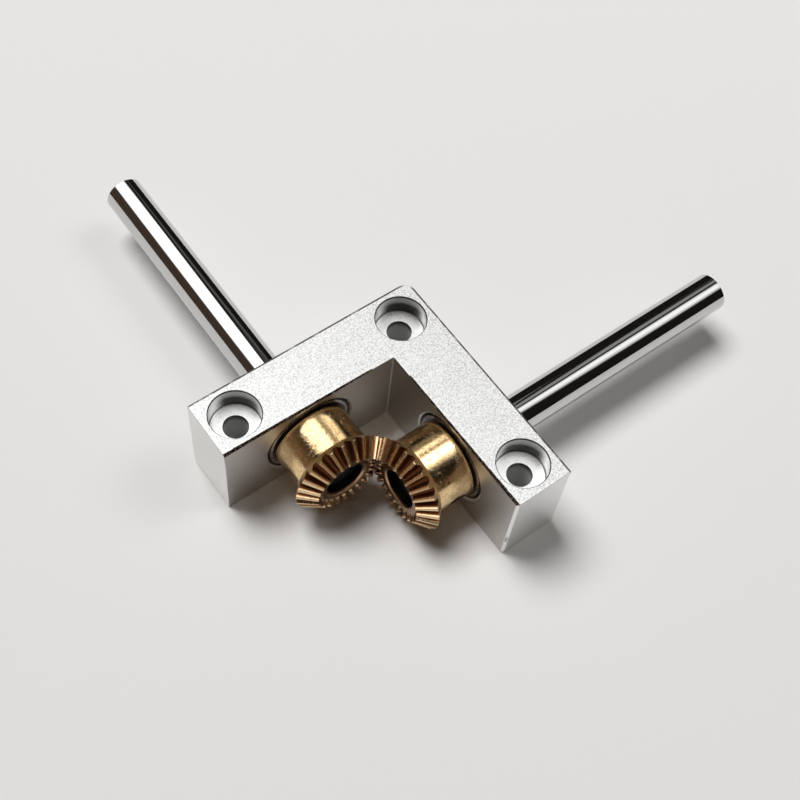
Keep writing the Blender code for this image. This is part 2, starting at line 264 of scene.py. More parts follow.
def apply_modifiers(piece):
    """Gives the piece the mesh that its modifiers make."""
    graph = bpy.context.evaluated_depsgraph_get()
    made = bpy.data.meshes.new_from_object(piece.evaluated_get(graph), depsgraph=graph)
    piece.modifiers.clear()
    piece.data = made


def cut(piece, cutters):
    """Cuts each cutter out of the piece, then removes the cutters."""
    for cutter in cutters:
        step = piece.modifiers.new("cut", "BOOLEAN")
        step.operation = "DIFFERENCE"
        step.solver = "EXACT"
        step.material_mode = "TRANSFER"
        step.object = cutter
    bpy.context.view_layer.update()
    apply_modifiers(piece)
    for cutter in cutters:
        bpy.data.objects.remove(cutter)


def keep_faces_flat(piece):
    """Large faces stay flat beside their small rounded edges."""
    step = piece.modifiers.new("flat_faces", "WEIGHTED_NORMAL")
    step.keep_sharp = True
    step.weight = 100


# ---------------------------------------------------------------- node helpers


class Nodes:
    """A node tree with short calls for the nodes that it is made of."""

    def __init__(self, tree):
        self.tree = tree

    def node(self, kind, **inputs):
        made = self.tree.nodes.new(kind)
        for name, value in inputs.items():
            self.feed(made, name.replace("_", " "), value)
        return made

    def feed(self, node, socket, value):
        """Links a socket to another node's output, or sets it to a constant."""
        target = node.inputs[int(socket)] if socket.isdigit() else node.inputs[socket]
        if isinstance(value, bpy.types.NodeSocket):
            self.tree.links.new(value, target)
        else:
            target.default_value = value

    def maths(self, operation, first, second=0.0):
        made = self.tree.nodes.new("ShaderNodeMath")
        made.operation = operation
        self.feed(made, "0", first)
        self.feed(made, "1", second)
        return made.outputs[0]

    def times(self, first, *others):
        for value in others:
            first = self.maths("MULTIPLY", first, value)
        return first

    def plus(self, first, *others):
        for value in others:
            first = self.maths("ADD", first, value)
        return first

    def either(self, first, second):
        return self.maths("MAXIMUM", first, second)

    def distance(self, first, second):
        """The length of the plane vector with those two components."""
        return self.maths("SQRT", self.plus(self.times(first, first), self.times(second, second)))

    def ramp(self, value, low, high, low_out=0.0, high_out=1.0):
        """Maps a value smoothly from one range to another."""
        made = self.node("ShaderNodeMapRange", Value=value, From_Min=low, From_Max=high,
                         To_Min=low_out, To_Max=high_out)
        made.interpolation_type = "SMOOTHSTEP"
        return made.outputs["Result"]

    def mix(self, share, first, second):
        """A colour between two others."""
        made = self.tree.nodes.new("ShaderNodeMix")
        made.data_type = "RGBA"
        for index, value in ((0, share), (6, first), (7, second)):
            value = (*value, 1.0) if isinstance(value, tuple) else value
            self.feed(made, str(index), value)
        return made.outputs[2]

    def split(self, vector):
        return self.node("ShaderNodeSeparateXYZ", Vector=vector).outputs


class Look(Nodes):
    """A Principled material. `place` and `facing` are a point and its normal on the object."""

    def __init__(self, name, metallic=1.0):
        self.material = bpy.data.materials.new(name)
        self.material.use_nodes = True
        super().__init__(self.material.node_tree)
        self.shader = self.tree.nodes["Principled BSDF"]
        self.set("Metallic", metallic)
        where = self.node("ShaderNodeTexCoord")
        self.place = where.outputs["Object"]
        self.facing = where.outputs["Normal"]

    def set(self, socket, value):
        self.feed(self.shader, socket, value)

    def noise(self, size, stretch=(1, 1, 1), detail=3.0, roughness=0.55):
        """Noise whose grains measure about `size` millimetres, stretched per axis."""
        mapping = self.node("ShaderNodeMapping", Vector=self.place)
        mapping.inputs["Scale"].default_value = [1 / s for s in stretch]
        made = self.node("ShaderNodeTexNoise", Vector=mapping.outputs[0],
                         Scale=1 / (size * MM), Detail=detail, Roughness=roughness)
        return made.outputs["Fac"]

    def bump(self, height, depth, strength, below=None):
        """A bump `depth` millimetres deep, on top of another if one is given."""
        made = self.node("ShaderNodeBump", Height=height, Strength=strength,
                         Distance=depth * MM)
        if below is not None:
            self.feed(made, "Normal", below)
        return made.outputs[0]


# ---------------------------------------------------------------- materials


def blasted_grain(look):
    """The fine grain of bead-blasted metal."""
    coarse = look.noise(0.30, detail=1.0)
    fine = look.noise(0.17, detail=2.0, roughness=0.7)
    return look.plus(look.times(coarse, 0.5), look.times(fine, 0.5))


def aluminium_look():
    """Bead-blasted and clear anodised, with dark lines painted along the upper edges as painted
    reflection of dark surroundings.

    The inside edges are ragged: dark brown with bright flecks.
    """
    look = Look("blasted_aluminium")
    x, y, z = look.split(look.place)
    out_x, out_y, up = look.split(look.facing)
    grain = blasted_grain(look)
    pits = look.ramp(look.noise(0.26, detail=1.0), 0.64, 0.72)
    top = look.ramp(up, 0.90, 0.99)
    pale = look.mix(look.ramp(grain, 0.38, 0.56), (0.60, 0.60, 0.595), (0.97, 0.97, 0.965))
    matt = look.mix(look.times(pits, 0.6), pale, (0.22, 0.21, 0.20))
    side = look.mix(look.ramp(grain, 0.36, 0.58), (0.80, 0.80, 0.79), (0.87, 0.87, 0.86))
    colour = look.mix(top, side, matt)
    # Painted shade: the inner faces, towards the gears, are painted darker and browner
    shaded_inner_faces = look.either(
        look.times(look.ramp(out_x, -0.9, -0.99), look.ramp(x, 0.0, MM)),
        look.times(look.ramp(out_y, -0.9, -0.99), look.ramp(y, 0.0, MM)),
    )
    colour = look.mix(shaded_inner_faces, colour, (0.55, 0.525, 0.505))

    # Painted reflection: dark broken lines painted on the upper edges and along the outer rims
    near_top = look.ramp(z, (HALF_HEIGHT - 0.6) * MM, (HALF_HEIGHT - 0.5) * MM)
    slope = look.times(look.ramp(up, 0.05, 0.15), look.ramp(up, 0.985, 0.93))
    rim = [look.ramp(place, (AXIS_OFFSET - 0.42) * MM, (AXIS_OFFSET - 0.34) * MM)
           for place in (x, y)]
    broken = look.ramp(look.noise(1.4, detail=2.0), 0.30, 0.50, 0.6, 1.0)
    edge = look.times(near_top, look.either(slope, look.either(*rim)), broken)
    colour = look.mix(edge, colour, (0.075, 0.062, 0.055))
    # The ragged inside edges, away from the corner
    inside = [look.ramp(place, (INNER_FACE + 0.85) * MM, (INNER_FACE + 0.75) * MM)
              for place in (x, y)]
    outer_part = [look.ramp(place, (INNER_FACE - 1) * MM, (INNER_FACE - 4) * MM)
                  for place in (x, y)]
    burr_zone = look.either(look.times(inside[0], outer_part[1]),
                            look.times(inside[1], outer_part[0]))
    burr = look.times(near_top, slope, burr_zone)
    flecks = look.ramp(look.noise(0.34, detail=3.0, roughness=0.8), 0.50, 0.62)
    ragged = look.mix(flecks, (0.030, 0.018, 0.014), (0.50, 0.38, 0.29))
    look.set("Base Color", look.mix(burr, colour, ragged))
    look.set("Metallic", look.ramp(top, 0.0, 1.0, 1.0, 0.60))
    look.set("Roughness", look.ramp(grain, 0.25, 0.75, 0.34, 0.48))
    look.set("Normal", look.bump(grain, 0.02, 0.7))
    return look.material


def machined_look():
    """The screw recesses: a blasted floor, a turned wall with painted shade, darkest at its foot.
    """
    look = Look("machined_aluminium")
    z = look.split(look.place)[2]
    out_x, out_y, up = look.split(look.facing)
    grain = blasted_grain(look)
    ragged = look.times(look.plus(look.noise(0.5), -0.5), 0.9 * MM)
    height = look.plus(z, ragged)
    floor = (HALF_HEIGHT - COUNTERBORE_DEPTH) * MM
    speckled = look.mix(look.ramp(grain, 0.34, 0.52), (0.78, 0.78, 0.77), (1.0, 1.0, 0.99))
    # Painted shade: the part of the wall that faces the open corner is painted dark, darker towards
    # its foot
    shaded_far_side = look.ramp(look.plus(look.times(out_x, -0.70), look.times(out_y, -0.71)),
                         0.40, 0.85)
    foot = look.ramp(height, floor + 3.1 * MM, floor + 2.1 * MM)
    wall = look.mix(look.ramp(z, floor + 1.6 * MM, HALF_HEIGHT * MM), (0.07, 0.07, 0.07),
                    (0.50, 0.50, 0.49))
    wall = look.mix(foot, wall, (0.012, 0.012, 0.012))
    wall = look.mix(shaded_far_side, (0.80, 0.80, 0.79), wall)
    flat = look.ramp(up, 0.80, 0.95)
    colour = look.mix(flat, wall, speckled)
    # Painted shade: a dark line round the rim chamfer
    rim = look.ramp(z, (HALF_HEIGHT - 0.34) * MM, (HALF_HEIGHT - 0.28) * MM)
    colour = look.mix(rim, colour, (0.06, 0.055, 0.05))
    in_hole = look.ramp(z, floor - 0.02 * MM, floor - 0.05 * MM)
    hole = look.mix(look.ramp(z, floor - 2.2 * MM, floor - 0.3 * MM), (0.66, 0.67, 0.66),
                    (0.05, 0.05, 0.05))
    colour = look.mix(in_hole, colour, hole)
    look.set("Base Color", colour)
    look.set("Metallic", look.ramp(in_hole, 0.0, 1.0, 1.0, 0.0))
    look.set("Roughness", look.plus(look.times(flat, 0.12),
                                    look.ramp(grain, 0.3, 0.7, 0.26, 0.34)))
    look.set("Normal", look.bump(grain, 0.02, 0.6))
    return look.material


def bore_look(side):
    """The bearing seats: bright turned chamfers, and painted shade in the fit, where the wall
    beside the bearing is near black.
    """
    look = Look(f"{side}_bore")
    axial = look.split(look.facing)[AXIS_INDEX[side]]
    # Painted shade: `film` marks the bore's wall beside the bearing, which is painted near black
    film = look.ramp(look.maths("ABSOLUTE", axial), 0.25, 0.10)
    lines = look.noise(0.3, stretch=(0.3, 4, 4) if side == "drive" else (4, 0.3, 4))
    look.set("Base Color", look.mix(film, (0.90, 0.90, 0.90), (0.02, 0.018, 0.018)))
    look.set("Metallic", look.ramp(film, 0.0, 1.0, 0.6, 1.0))
    look.set("Roughness", look.ramp(lines, 0.3, 0.7, 0.42, 0.54))
    return look.material


def shaft_look():
    """Ground and polished steel with faint marks round the bar, and painted shade on its inner end,
    seen down the gear's bore.
    """
    look = Look("polished_steel")
    z = look.split(look.place)[2]
    marks = look.noise(0.5, stretch=(6, 6, 0.25), detail=4.0)
    specks = look.noise(0.12, detail=1.0)
    # Painted shade: the inner end is painted near black
    shaded_inner_end = look.ramp(z, (SHAFT_START + 0.5) * MM, (SHAFT_START + 0.3) * MM)
    look.set("Roughness", look.plus(look.ramp(marks, 0.3, 0.7, 0.03, 0.08),
                                    look.ramp(specks, 0.66, 0.8, 0.0, 0.2),
                                    look.times(shaded_inner_end, 0.4)))
    colour = look.mix(look.ramp(specks, 0.64, 0.8), (0.62, 0.62, 0.61), (0.44, 0.42, 0.40))
    look.set("Base Color", look.mix(shaded_inner_end, colour, (0.02, 0.022, 0.024)))
    look.set("Normal", look.bump(marks, 0.0015, 0.5))
    return look.material


def brass_look():
    """Turned brass: a mottled bright hub, a back cone painted paler as painted light, tooth gaps
    dark brown with oxide and painted shade, painted shade on the toes and in the bore.
    """
    look = Look("turned_brass")
    x, y, z = look.split(look.place)
    radius = look.distance(x, y)
    # The cones slope at 45 degrees: radius + z says how far along them, radius - z how high
    reach = look.plus(radius, z)
    heel = 2 * PITCH_RADIUS * MM
    toe = heel * TOE_RATIO
    scale = look.maths("DIVIDE", reach, heel)
    height = look.maths("DIVIDE", look.maths("SUBTRACT", radius, z), scale)
    among_teeth = look.times(look.ramp(reach, toe - 0.04 * MM, toe + 0.01 * MM),
                             look.ramp(reach, heel - 0.01 * MM, heel - 0.03 * MM))
    gap = look.times(among_teeth, look.ramp(height, 0.70 * MM, 0.15 * MM))
    back_cone = look.times(look.ramp(reach, heel - 0.02 * MM, heel + 0.01 * MM),
                           look.ramp(radius, (HUB_RADIUS + 0.03) * MM, (HUB_RADIUS + 0.1) * MM))
    near_bore = look.ramp(radius, (GEAR_BORE_RADIUS + 0.2) * MM, (GEAR_BORE_RADIUS + 0.1) * MM)
    bore = look.times(near_bore, look.ramp(z, (FRONT_FACE + 0.2) * MM, (FRONT_FACE + 0.4) * MM))
    front = look.ramp(reach, toe + 0.12 * MM, toe + 0.03 * MM)

    blotches = look.noise(1.1, stretch=(1, 1, 1.8), detail=5.0, roughness=0.65)
    freckles = look.noise(0.5, detail=3.0, roughness=0.6)
    lines = look.noise(0.35, stretch=(9, 9, 0.3), detail=2.0)
    tarnish = look.ramp(look.plus(look.times(blotches, 0.55), look.times(freckles, 0.45)),
                        0.50, 0.66)
    clean = look.mix(look.ramp(freckles, 0.38, 0.62), (0.76, 0.51, 0.25), (0.93, 0.74, 0.44))
    colour = look.mix(look.times(tarnish, 0.8), clean, (0.44, 0.23, 0.09))
    # Painted light: the back cone is painted paler
    colour = look.mix(back_cone, colour, (0.96, 0.80, 0.50))
    colour = look.mix(among_teeth, colour, (0.80, 0.58, 0.34))
    # The tooth gaps: dark brown that is partly oxide and partly painted shade
    colour = look.mix(look.times(gap, 0.97), colour, (0.25, 0.10, 0.042))
    # Painted shade: the toe end is painted darker brown and its faces near black
    colour = look.mix(look.times(front, 0.9), colour, (0.42, 0.27, 0.16))
    shaded_toe_faces = look.times(front, look.ramp(radius, (FRONT_FACE_RADIUS + 0.4) * MM,
                                            (FRONT_FACE_RADIUS + 0.55) * MM))
    colour = look.mix(shaded_toe_faces, colour, (0.13, 0.075, 0.045))
    # Painted shade: near black inside the bore
    colour = look.mix(bore, colour, (0.02, 0.016, 0.014))
    look.set("Base Color", colour)
    look.set("Roughness", look.plus(look.ramp(tarnish, 0.0, 1.0, 0.14, 0.30),
                                    look.times(back_cone, 0.25), look.times(bore, 0.35),
                                    look.times(among_teeth, 0.10), look.times(gap, 0.12)))
    on_hub = look.ramp(reach, heel, heel + 0.4 * MM)
    look.set("Metallic", look.ramp(look.times(tarnish, on_hub), 0.0, 1.0, 1.0, 0.75))
    grain = look.times(freckles, on_hub)
    look.set("Normal", look.bump(grain, 0.03, 0.8, look.bump(lines, 0.003, 0.8)))
    return look.material


def tapped_hole_look(side):
    """The threads of a set-screw hole, painted near black as painted shade."""
    look = Look(f"{side}_tapped_hole")
    grain = look.noise(0.3)
    look.set("Base Color", look.mix(look.ramp(grain, 0.4, 0.7), (0.03, 0.022, 0.018),
                                    (0.12, 0.08, 0.045)))
    look.set("Roughness", 0.5)
    return look.material


def bearing_steel_look():
    """Ground and stained ring steel, with painted shade: a near black band round the outside, in
    the gap beside the bore.
    """
    look = Look("bearing_steel")
    lines = look.noise(0.3, stretch=(5, 5, 0.2))
    stains = look.noise(1.2, detail=4.0)
    x, y = look.split(look.place)[:2]
    # Painted shade: near black at the outer edge of the ring
    edge = look.ramp(look.distance(x, y), (BEARING_OUTSIDE_RADIUS - 0.58) * MM,
                     (BEARING_OUTSIDE_RADIUS - 0.44) * MM)
    colour = look.mix(look.ramp(stains, 0.42, 0.68), (0.56, 0.54, 0.57), (0.38, 0.33, 0.32))
    look.set("Base Color", look.mix(edge, colour, (0.02, 0.02, 0.02)))
    look.set("Roughness", look.ramp(lines, 0.3, 0.7, 0.22, 0.36))
    look.set("Normal", look.bump(lines, 0.002, 0.6))
    return look.material


def ball_look():
    look = Look("ball_steel")
    film = look.noise(0.6)
    look.set("Base Color", (0.62, 0.62, 0.63, 1.0))
    look.set("Roughness", look.ramp(film, 0.3, 0.7, 0.04, 0.12))
    return look.material


def grained_look(name, metallic, size, colours, roughness, depth, onset=0.35):
    """A fine grain that shows in the colour, the roughness and the surface."""
    look = Look(name, metallic)
    grain = look.noise(size)
    look.set("Base Color", look.mix(look.ramp(grain, onset, 0.7), *colours))
    look.set("Roughness", look.ramp(grain, 0.3, 0.7, *roughness))
    look.set("Normal", look.bump(grain, depth, 0.5))
    return look.material


def shield_look():
    colours = ((0.36, 0.34, 0.35), (0.22, 0.20, 0.20))
    return grained_look("shield_steel", 1.0, 0.2, colours, (0.32, 0.5), 0.003)


def cage_look():
    colours = ((0.78, 0.73, 0.61), (0.68, 0.62, 0.50))
    return grained_look("cage_nylon", 0.0, 0.25, colours, (0.42, 0.58), 0.004, onset=0.3)


def set_screw_look():
    colours = ((0.045, 0.045, 0.05), (0.11, 0.10, 0.095))
    return grained_look("black_oxide_steel", 1.0, 0.15, colours, (0.28, 0.45), 0.004)


def floor_look():
    """Plain pale paper, with painted shade: a little darker towards the front."""
    look = Look("pale_paper", metallic=0.0)
    fibres = look.noise(0.5, detail=4.0)
    x, y = look.split(look.place)[:2]
    back = look.plus(look.times(x, 0.5), look.times(y, 0.86))
    reach = 0.16
    shade = look.mix(look.ramp(back, -reach, reach), (0.80, 0.79, 0.78), (0.90, 0.895, 0.888))
    look.set("Base Color", look.mix(look.ramp(fibres, 0.3, 0.7, 0.0, 0.04), shade,
                                    (0.95, 0.95, 0.95)))
    look.set("Roughness", 0.75)
    look.set("Normal", look.bump(fibres, 0.01, 0.3))
    return look.material


# ---------------------------------------------------------------- bearing block


def prism(outline, low, high):
    """A straight-sided solid of that plan, from one height to another."""
    grid = bmesh.new()
    base = grid.faces.new([grid.verts.new((x, y, low)) for x, y in outline])
    risen = bmesh.ops.extrude_face_region(grid, geom=[base])
    tops = [item for item in risen["geom"] if isinstance(item, bmesh.types.BMVert)]
    bmesh.ops.translate(grid, vec=(0, 0, high - low), verts=tops)
    return grid


def block_mesh():
    """The L-shaped bar about the crossing point, with its long edges just broken."""
    far_round = AXIS_OFFSET - CORNER_RADIUS
    near_round = INNER_FACE - INNER_CORNER_RADIUS
    outline = [
        (LEG_END, AXIS_OFFSET),
        (LEG_END, INNER_FACE),
        *arc((near_round, near_round), INNER_CORNER_RADIUS, math.pi / 2, 0, 5),
        (INNER_FACE, LEG_END),
        (AXIS_OFFSET, LEG_END),
        *arc((far_round, far_round), CORNER_RADIUS, 0, math.pi / 2, 20),
    ]
    grid = prism(outline, -HALF_HEIGHT, HALF_HEIGHT)
    bmesh.ops.recalc_face_normals(grid, faces=grid.faces[:])
    # The facets of the rounded corners meet at less than this and stay as they are
    sharp = [edge for edge in grid.edges if edge.calc_face_angle(0) > math.radians(50)]
    bmesh.ops.bevel(grid, geom=sharp, offset=EDGE_BREAK, segments=2, profile=0.6,
                    affect="EDGES")
    return mesh_from("bearing_block_fine", grid)


def bore_cutter(side, look):
    """A bearing bore through one leg, chamfered at both ends."""
    wide = BORE_RADIUS + BORE_CHAMFER
    outline = [
        (INNER_FACE - OVERSHOOT, wide),
        (INNER_FACE, wide),
        (INNER_FACE + BORE_CHAMFER, BORE_RADIUS),
        (AXIS_OFFSET - BORE_CHAMFER, BORE_RADIUS),
        (AXIS_OFFSET, wide),
        (AXIS_OFFSET + OVERSHOOT, wide),
    ]
    return add_piece("bore_cutter", turned_bar("bore_cutter", outline), AXES[side], look)


def screw_cutter(place, look):
    """A counterbored screw hole, with a small chamfer at its foot and at both ends."""
    floor = HALF_HEIGHT - COUNTERBORE_DEPTH
    foot = 0.15
    outline = [
        (-HALF_HEIGHT - OVERSHOOT, SCREW_HOLE_RADIUS + RIM_CHAMFER),
        (-HALF_HEIGHT, SCREW_HOLE_RADIUS + RIM_CHAMFER),
        (-HALF_HEIGHT + RIM_CHAMFER, SCREW_HOLE_RADIUS),
        (floor, SCREW_HOLE_RADIUS),
        (floor, COUNTERBORE_RADIUS - foot),
        (floor + foot, COUNTERBORE_RADIUS),
        (HALF_HEIGHT - RIM_CHAMFER, COUNTERBORE_RADIUS),
        (HALF_HEIGHT, COUNTERBORE_RADIUS + RIM_CHAMFER),
        (HALF_HEIGHT + OVERSHOOT, COUNTERBORE_RADIUS + RIM_CHAMFER),
    ]
    mesh = turned_bar("screw_cutter", outline, HOLE_FACETS)
    middle = Matrix.Translation((CROSSING + Vector((*place, 0))) * MM)
    return add_piece("screw_cutter", mesh, middle, look)


def ragged_edge_cutter(swap, rng, look):
    """Cuts a rough, uneven chamfer along one inside top edge, out to the leg's end."""
    grid = bmesh.new()
    steps = 160
    start = INNER_FACE - BURR_START
    end = LEG_END - OVERSHOOT
    side_gap = 0.5
    top_gap = 0.3
    sections = []
    wander = 0.0
    for i in range(steps + 1):
        along = start + (end - start) * i / steps
        wander = 0.5 * wander + rng.uniform(-0.035, 0.035)
        grow = 0.45 + 0.55 * i / steps
        width = grow * (BURR_WIDTH + wander)
        drop = grow * (BURR_WIDTH * 0.8 + wander + rng.uniform(-0.05, 0.05))
        corners = [
            (INNER_FACE - side_gap, HALF_HEIGHT - drop - side_gap * drop / max(width, 0.05)),
            (INNER_FACE + width, HALF_HEIGHT),
            (INNER_FACE + width + top_gap, HALF_HEIGHT + top_gap),
            (INNER_FACE - side_gap, HALF_HEIGHT + top_gap),
        ]
        points = [(along, across, up) for across, up in corners]
        if swap:
            points = [(across, along, up) for along, across, up in points]
        sections.append([grid.verts.new(point) for point in points])
    for low, high in zip(sections, sections[1:]):
        bridge(grid, low, high)
    grid.faces.new(sections[0])
    grid.faces.new(sections[-1])
    mesh = mesh_from("ragged_edge_cutter", grid)
    return add_piece("ragged_edge_cutter", mesh, Matrix.Translation(CROSSING * MM), look)


def end_edge_cutter(look):
    """The wider chamfer down the inside edge of the drive leg's end."""
    near = -OVERSHOOT
    far = END_EDGE_CHAMFER + OVERSHOOT
    outline = [
        (INNER_FACE + near, LEG_END + near),
        (INNER_FACE + far, LEG_END + near),
        (INNER_FACE + near, LEG_END + far),
    ]
    grid = prism(outline, -HALF_HEIGHT - OVERSHOOT, HALF_HEIGHT + OVERSHOOT)
    return add_piece("end_edge_cutter", mesh_from("end_edge_cutter", grid),
                     Matrix.Translation(CROSSING * MM), look)


def knock_cutters(look):
    """Small knocks on the two inner vertical edges at the legs' ends."""
    driven_edge = Vector((LEG_END, INNER_FACE, 0))
    drive_edge = Vector((INNER_FACE + END_EDGE_CHAMFER / 2, LEG_END + END_EDGE_CHAMFER / 2, 0))
    knocks = [
        (driven_edge, 9.9, 0.42),
        (driven_edge, 9.2, 0.30),
        (driven_edge, 8.2, 0.34),
        (driven_edge, 7.4, 0.22),
        (drive_edge, -4.0, 0.38),
        (drive_edge, -4.8, 0.46),
        (drive_edge, -5.5, 0.30),
    ]
    made = []
    for edge, height, size in knocks:
        grid = bmesh.new()
        bmesh.ops.create_icosphere(grid, subdivisions=1, radius=size)
        bmesh.ops.scale(grid, vec=(1.0, 1.0, 0.8), verts=grid.verts[:])
        place = Matrix.Translation((CROSSING + edge + Vector((0, 0, height))) * MM)
        made.append(add_piece("knock", mesh_from("knock", grid), place, look))
    return made


def make_block():
    """The block with its bores, screw holes, ragged edges and knocks cut out."""
    look = aluminium_look()
    place = Matrix.Translation(CROSSING * MM)
    block = add_piece("bearing_block_fine", block_mesh(), place, look)
    near = LEG_END + SCREW_INSET
    far = AXIS_OFFSET - SCREW_INSET
    rng = random.Random(7)
    cutters = [bore_cutter(side, bore_look(side)) for side in AXES]
    recess = machined_look()
    cutters += [screw_cutter(spot, recess) for spot in ((far, far), (far, near), (near, far))]
    cutters += [ragged_edge_cutter(swap, rng, look) for swap in (False, True)]
    cutters.append(end_edge_cutter(look))
    cutters += knock_cutters(look)
    cut(block, cutters)
    block.data.set_sharp_from_angle(angle=SHARP_ANGLE)
    keep_faces_flat(block)
    stand_for(block, "bearing_block")


# ---------------------------------------------------------------- shafts


def make_shaft(side, look):
    """A plain bar, with its chamfers rounded at both ends."""
    face = SHAFT_RADIUS - SHAFT_CHAMFER
    half = [
        (0, face),
        (ROUND_ALONG, face + ROUND_ACROSS),
        (SHAFT_CHAMFER - ROUND_ALONG, SHAFT_RADIUS - ROUND_ACROSS),
        (SHAFT_CHAMFER, SHAFT_RADIUS),
    ]
    outline = [(SHAFT_START + place, radius) for place, radius in half]
    outline += [(SHAFT_TIP - place, radius) for place, radius in reversed(half)]
    mesh = turned_bar(f"{side}_shaft_fine", outline)
    shaft = add_piece(f"{side}_shaft_fine", mesh, AXES[side], look)
    keep_faces_flat(shaft)
    stand_for(shaft, f"{side}_shaft")


# ---------------------------------------------------------------- gears


def involute(angle):
    return math.tan(angle) - angle


def flank_half_angle(height):
    """Half the tooth's angle about the gear's axis, at a height over the pitch cone.

    The back cone is unrolled into a flat spur gear, whose involute flanks are rolled up again.
    """
    flat_pitch = PITCH_RADIUS * math.sqrt(2)
    flat_base = flat_pitch * math.cos(PRESSURE_ANGLE)
    flat_half = (math.pi * TOOTH_MODULE - BACKLASH) / 4 / flat_pitch
    pressure = math.acos(min(1.0, flat_base / (flat_pitch + height)))
    return (flat_half + involute(PRESSURE_ANGLE) - involute(pressure)) * math.sqrt(2)


def tooth_outline(trim):
    """One tooth from gap to gap as (height, angle) points, trimmed back for a broken edge."""
    half = []
    fillet_steps = 4
    for i in range(fillet_steps):
        turn = math.pi / 2 * i / fillet_steps
        height = -DEDENDUM + TOOTH_FILLET * (1 - math.cos(turn))
        spread = TOOTH_FILLET * (1 - math.sin(turn)) / PITCH_RADIUS
        half.append((height, flank_half_angle(height) + spread))
    flank_low = -DEDENDUM + TOOTH_FILLET
    flank_high = ADDENDUM - TOOTH_EDGE
    flank_steps = 6
    for i in range(flank_steps + 1):
        height = flank_low + (flank_high - flank_low) * i / flank_steps
        half.append((height, flank_half_angle(height)))
    tip = flank_half_angle(ADDENDUM)
    half.append((ADDENDUM - 0.3 * TOOTH_EDGE, tip - 0.3 * TOOTH_EDGE / PITCH_RADIUS))
    half.append((ADDENDUM, tip - TOOTH_EDGE / PITCH_RADIUS))
    points = [(min(height, ADDENDUM - trim), angle - trim / PITCH_RADIUS * (height > flank_low))
              for height, angle in half]
    near_side = [(height, -angle) for height, angle in points]
    return near_side + [(ADDENDUM - trim, 0.0)] + points[::-1]


def tooth_ring(grid, ratio, first, trim):
    """All the teeth at a share of the cone's length: 1 at the heel, TOE_RATIO at the toe."""
    pitch = 2 * math.pi / TOOTH_COUNT
    outline = tooth_outline(trim) + [(-DEDENDUM, pitch / 2)]
    points = []
    for i in range(TOOTH_COUNT):
        for height, angle in outline:
            rise = height / math.sqrt(2)
            radius = (PITCH_RADIUS + rise) * ratio
            turn = first + i * pitch + angle
            points.append(grid.verts.new((radius * math.cos(turn), radius * math.sin(turn),
                                          (PITCH_RADIUS - rise) * ratio)))
    return points


def core_ring(grid, place, radius, first, count):
    """An even ring of points that starts level with the first tooth's near gap."""
    start = first - math.pi / TOOTH_COUNT
    turns = (start + 2 * math.pi * (i + 0.5) / count for i in range(count))
    return [grid.verts.new((radius * math.cos(t), radius * math.sin(t), place)) for t in turns]


def gear_mesh(name, first):
    """The teeth, then the hub and the bore from the heel round to the toe, as one skin."""
    grid = bmesh.new()
    shallow = TOOTH_EDGE / (PITCH_RADIUS * math.sqrt(2))
    teeth = [
        tooth_ring(grid, 1.0, first, TOOTH_EDGE),
        tooth_ring(grid, 1.0 - shallow, first, 0.0),
        tooth_ring(grid, TOE_RATIO + shallow, first, 0.0),
        tooth_ring(grid, TOE_RATIO, first, TOOTH_EDGE),
    ]
    for low, high in zip(teeth, teeth[1:]):
        bridge(grid, low, high)
    count = len(teeth[0])
    hub_start = 2 * PITCH_RADIUS - HUB_RADIUS
    chamfer_start = HUB_END - HUB_CHAMFER
    bore_edge = 0.15
    front_edge = GEAR_BORE_RADIUS + GEAR_BORE_CHAMFER
    core = [
        (hub_start - 0.03, HUB_RADIUS + ROUND_ACROSS),
        (hub_start + 0.03, HUB_RADIUS - ROUND_ACROSS),
        (hub_start + 0.12, HUB_RADIUS - ROUND_ACROSS),
        (hub_start + 0.16, HUB_RADIUS),
        (chamfer_start - ROUND_ALONG, HUB_RADIUS),
        (chamfer_start + ROUND_ALONG, HUB_RADIUS - 2 * ROUND_ACROSS),
        (HUB_END - ROUND_ALONG, HUB_RADIUS - HUB_CHAMFER + ROUND_ACROSS),
        (HUB_END, HUB_RADIUS - HUB_CHAMFER - ROUND_ACROSS),
        (HUB_END, GEAR_BORE_RADIUS + bore_edge),
        (HUB_END - bore_edge, GEAR_BORE_RADIUS),
        (FRONT_FACE + GEAR_BORE_CHAMFER, GEAR_BORE_RADIUS),
        (FRONT_FACE + GEAR_BORE_CHAMFER * 0.9, GEAR_BORE_RADIUS + 0.02),
        (FRONT_FACE + 0.03, front_edge - ROUND_ACROSS),
        (FRONT_FACE, front_edge + ROUND_ACROSS),
        (FRONT_FACE, FRONT_FACE_RADIUS - 0.05),
        (FRONT_FACE - 0.01, FRONT_FACE_RADIUS + 0.03),
    ]
    rings = [core_ring(grid, place, radius, first, count) for place, radius in core]
    for low, high in zip(rings, rings[1:]):
        bridge(grid, low, high)
    bridge(grid, teeth[0], rings[0])
    bridge(grid, teeth[-1], rings[-1])
    return mesh_from(name, grid, GEAR_SHARP_ANGLE)


def set_screw_frame(side):
    """Local Z points out along the set screw, at its angle round the shaft."""
    turn = Matrix.Rotation(SET_SCREW_ANGLES[side], 4, "Z")
    lift = Matrix.Translation((0, 0, SET_SCREW_PLACE * MM))
    return AXES[side] @ turn @ lift @ Matrix.Rotation(math.pi / 2, 4, "Y")


